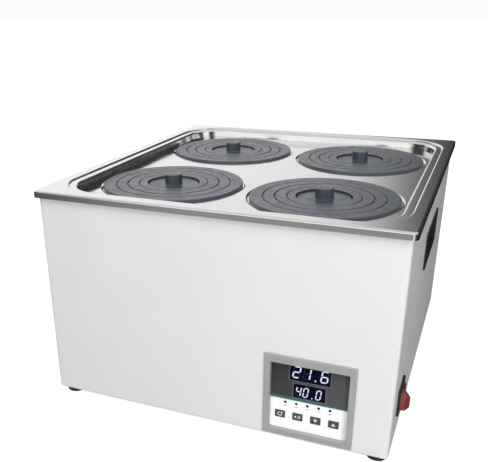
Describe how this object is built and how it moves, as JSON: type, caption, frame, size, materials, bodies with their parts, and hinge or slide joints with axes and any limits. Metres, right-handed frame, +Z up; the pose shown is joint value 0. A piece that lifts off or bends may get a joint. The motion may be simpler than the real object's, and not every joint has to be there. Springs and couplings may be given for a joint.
{
  "type": "water bath",
  "caption": "Bench-top laboratory water bath: white sheet-steel case, stainless tank, holed cover with nested concentric ring lids, digital control panel, rocker switch and rear mains inlet.",
  "frame": {"origin": "on the bench plane under the feet, at the centre of the case's footprint", "axes": "+Z up; the control panel faces -Y; the rocker switch is on the +X side"},
  "size_m": [0.331, 0.354, 0.2058],
  "materials": {
    "white_powder_coat": "satin powder coat",
    "galvanised_sheet": "matt",
    "stainless_tank": "satin",
    "stainless_cover": "satin",
    "stainless_shelf": "satin",
    "slate_plastic": "fine moulded texture",
    "black_plastic": "moulded",
    "rocker_red": "gloss, translucent",
    "bezel_grey": "satin",
    "fascia_dark": "satin printed film",
    "key_panel_white": "satin printed film",
    "key_grey": "satin",
    "display_face": "gloss",
    "led_lens": "gloss",
    "foot_rubber": "matt",
    "silicone_gasket": "matt",
    "zinc_screw": "zinc plated",
    "heater_sheath": "heat-tinted",
    "probe_sheath": "polished",
    "gland_brass": "machined",
    "cutout_aluminium": "pressed",
    "insulation_wool": "felted mineral wool",
    "circuit_board": "solder resist",
    "nylon_white": "moulded",
    "switch_body": "moulded",
    "transformer_core": "varnished laminations",
    "wire_pvc": "PVC"
  },
  "bodies": {
    "housing": {"casing": "white_powder_coat", "rear_panel": "white_powder_coat", "base_plate": "galvanised_sheet", "tank": "stainless_tank", "left_handle": "black_plastic", "right_handle": "black_plastic", "rocker_frame": "black_plastic", "inlet_socket": "black_plastic", "panel_bezel": "bezel_grey", "display_fascia": "fascia_dark", "key_panel": "key_panel_white", "upper_display": "display_face", "lower_display": "display_face", "indicator_leds": "led_lens", "rubber_feet": "foot_rubber", "tank_gasket": "silicone_gasket", "foot_screws": "zinc_screw", "base_screws": "zinc_screw", "rear_screws": "zinc_screw", "heating_element": "heater_sheath", "temperature_probe": "probe_sheath", "tank_glands": "gland_brass", "gland_nuts": "gland_brass", "inlet_pins": "gland_brass", "thermal_cutout": "cutout_aluminium", "tank_insulation": "insulation_wool", "display_board": "circuit_board", "power_board": "circuit_board", "board_spacers": "nylon_white", "key_switches": "switch_body", "transformer": "transformer_core", "wiring_loom": "wire_pvc"},
    "cover_plate": {"cover_plate": "stainless_cover"},
    "front_left_ring_1": {"front_left_ring_1": "slate_plastic"},
    "front_left_ring_2": {"front_left_ring_2": "slate_plastic"},
    "front_left_ring_3": {"front_left_ring_3": "slate_plastic"},
    "front_left_ring_4": {"front_left_ring_4": "slate_plastic"},
    "front_right_ring_1": {"front_right_ring_1": "slate_plastic"},
    "front_right_ring_2": {"front_right_ring_2": "slate_plastic"},
    "front_right_ring_3": {"front_right_ring_3": "slate_plastic"},
    "front_right_ring_4": {"front_right_ring_4": "slate_plastic"},
    "rear_left_ring_1": {"rear_left_ring_1": "slate_plastic"},
    "rear_left_ring_2": {"rear_left_ring_2": "slate_plastic"},
    "rear_left_ring_3": {"rear_left_ring_3": "slate_plastic"},
    "rear_left_ring_4": {"rear_left_ring_4": "slate_plastic"},
    "rear_right_ring_1": {"rear_right_ring_1": "slate_plastic"},
    "rear_right_ring_2": {"rear_right_ring_2": "slate_plastic"},
    "rear_right_ring_3": {"rear_right_ring_3": "slate_plastic"},
    "rear_right_ring_4": {"rear_right_ring_4": "slate_plastic"},
    "front_left_centre_lid": {"front_left_centre_lid": "slate_plastic"},
    "front_right_centre_lid": {"front_right_centre_lid": "slate_plastic"},
    "rear_left_centre_lid": {"rear_left_centre_lid": "slate_plastic"},
    "rear_right_centre_lid": {"rear_right_centre_lid": "slate_plastic"},
    "perforated_shelf": {"perforated_shelf": "stainless_shelf"},
    "power_rocker": {"power_rocker": "rocker_red"},
    "set_key": {"set_key": "key_grey"},
    "shift_key": {"shift_key": "key_grey"},
    "down_key": {"down_key": "key_grey"},
    "up_key": {"up_key": "key_grey"},
    "fuse_drawer": {"fuse_drawer": "black_plastic"}
  },
  "joints": [
    {"name": "cover_lift", "type": "slide", "parent": "housing", "child": "cover_plate", "axis": [0, 0, 1], "range_m": [0, 0.1]},
    {"name": "front_left_ring_1_lift", "type": "slide", "parent": "cover_plate", "child": "front_left_ring_1", "axis": [0, 0, 1], "range_m": [0, 0.03]},
    {"name": "front_left_ring_2_lift", "type": "slide", "parent": "front_left_ring_1", "child": "front_left_ring_2", "axis": [0, 0, 1], "range_m": [0, 0.03]},
    {"name": "front_left_ring_3_lift", "type": "slide", "parent": "front_left_ring_2", "child": "front_left_ring_3", "axis": [0, 0, 1], "range_m": [0, 0.03]},
    {"name": "front_left_ring_4_lift", "type": "slide", "parent": "front_left_ring_3", "child": "front_left_ring_4", "axis": [0, 0, 1], "range_m": [0, 0.03]},
    {"name": "front_left_centre_lid_lift", "type": "slide", "parent": "front_left_ring_4", "child": "front_left_centre_lid", "axis": [0, 0, 1], "range_m": [0, 0.03]},
    {"name": "front_right_ring_1_lift", "type": "slide", "parent": "cover_plate", "child": "front_right_ring_1", "axis": [0, 0, 1], "range_m": [0, 0.03]},
    {"name": "front_right_ring_2_lift", "type": "slide", "parent": "front_right_ring_1", "child": "front_right_ring_2", "axis": [0, 0, 1], "range_m": [0, 0.03]},
    {"name": "front_right_ring_3_lift", "type": "slide", "parent": "front_right_ring_2", "child": "front_right_ring_3", "axis": [0, 0, 1], "range_m": [0, 0.03]},
    {"name": "front_right_ring_4_lift", "type": "slide", "parent": "front_right_ring_3", "child": "front_right_ring_4", "axis": [0, 0, 1], "range_m": [0, 0.03]},
    {"name": "front_right_centre_lid_lift", "type": "slide", "parent": "front_right_ring_4", "child": "front_right_centre_lid", "axis": [0, 0, 1], "range_m": [0, 0.03]},
    {"name": "rear_left_ring_1_lift", "type": "slide", "parent": "cover_plate", "child": "rear_left_ring_1", "axis": [0, 0, 1], "range_m": [0, 0.03]},
    {"name": "rear_left_ring_2_lift", "type": "slide", "parent": "rear_left_ring_1", "child": "rear_left_ring_2", "axis": [0, 0, 1], "range_m": [0, 0.03]},
    {"name": "rear_left_ring_3_lift", "type": "slide", "parent": "rear_left_ring_2", "child": "rear_left_ring_3", "axis": [0, 0, 1], "range_m": [0, 0.03]},
    {"name": "rear_left_ring_4_lift", "type": "slide", "parent": "rear_left_ring_3", "child": "rear_left_ring_4", "axis": [0, 0, 1], "range_m": [0, 0.03]},
    {"name": "rear_left_centre_lid_lift", "type": "slide", "parent": "rear_left_ring_4", "child": "rear_left_centre_lid", "axis": [0, 0, 1], "range_m": [0, 0.03]},
    {"name": "rear_right_ring_1_lift", "type": "slide", "parent": "cover_plate", "child": "rear_right_ring_1", "axis": [0, 0, 1], "range_m": [0, 0.03]},
    {"name": "rear_right_ring_2_lift", "type": "slide", "parent": "rear_right_ring_1", "child": "rear_right_ring_2", "axis": [0, 0, 1], "range_m": [0, 0.03]},
    {"name": "rear_right_ring_3_lift", "type": "slide", "parent": "rear_right_ring_2", "child": "rear_right_ring_3", "axis": [0, 0, 1], "range_m": [0, 0.03]},
    {"name": "rear_right_ring_4_lift", "type": "slide", "parent": "rear_right_ring_3", "child": "rear_right_ring_4", "axis": [0, 0, 1], "range_m": [0, 0.03]},
    {"name": "rear_right_centre_lid_lift", "type": "slide", "parent": "rear_right_ring_4", "child": "rear_right_centre_lid", "axis": [0, 0, 1], "range_m": [0, 0.03]},
    {"name": "shelf_lift", "type": "slide", "parent": "housing", "child": "perforated_shelf", "axis": [0, 0, 1], "range_m": [0, 0.055]},
    {"name": "rocker_pivot", "type": "hinge", "parent": "housing", "child": "power_rocker", "pos_m": [0.1565, -0.1305, 0.0448], "axis": [0, 0, 1], "range_deg": [-32, 0]},
    {"name": "set_key_press", "type": "slide", "parent": "housing", "child": "set_key", "axis": [0, 1, 0], "range_m": [0, 0.0004]},
    {"name": "shift_key_press", "type": "slide", "parent": "housing", "child": "shift_key", "axis": [0, 1, 0], "range_m": [0, 0.0004]},
    {"name": "down_key_press", "type": "slide", "parent": "housing", "child": "down_key", "axis": [0, 1, 0], "range_m": [0, 0.0004]},
    {"name": "up_key_press", "type": "slide", "parent": "housing", "child": "up_key", "axis": [0, 1, 0], "range_m": [0, 0.0004]},
    {"name": "fuse_drawer_slide", "type": "slide", "parent": "housing", "child": "fuse_drawer", "axis": [0, 1, 0], "range_m": [0, 0.018]}
  ]
}
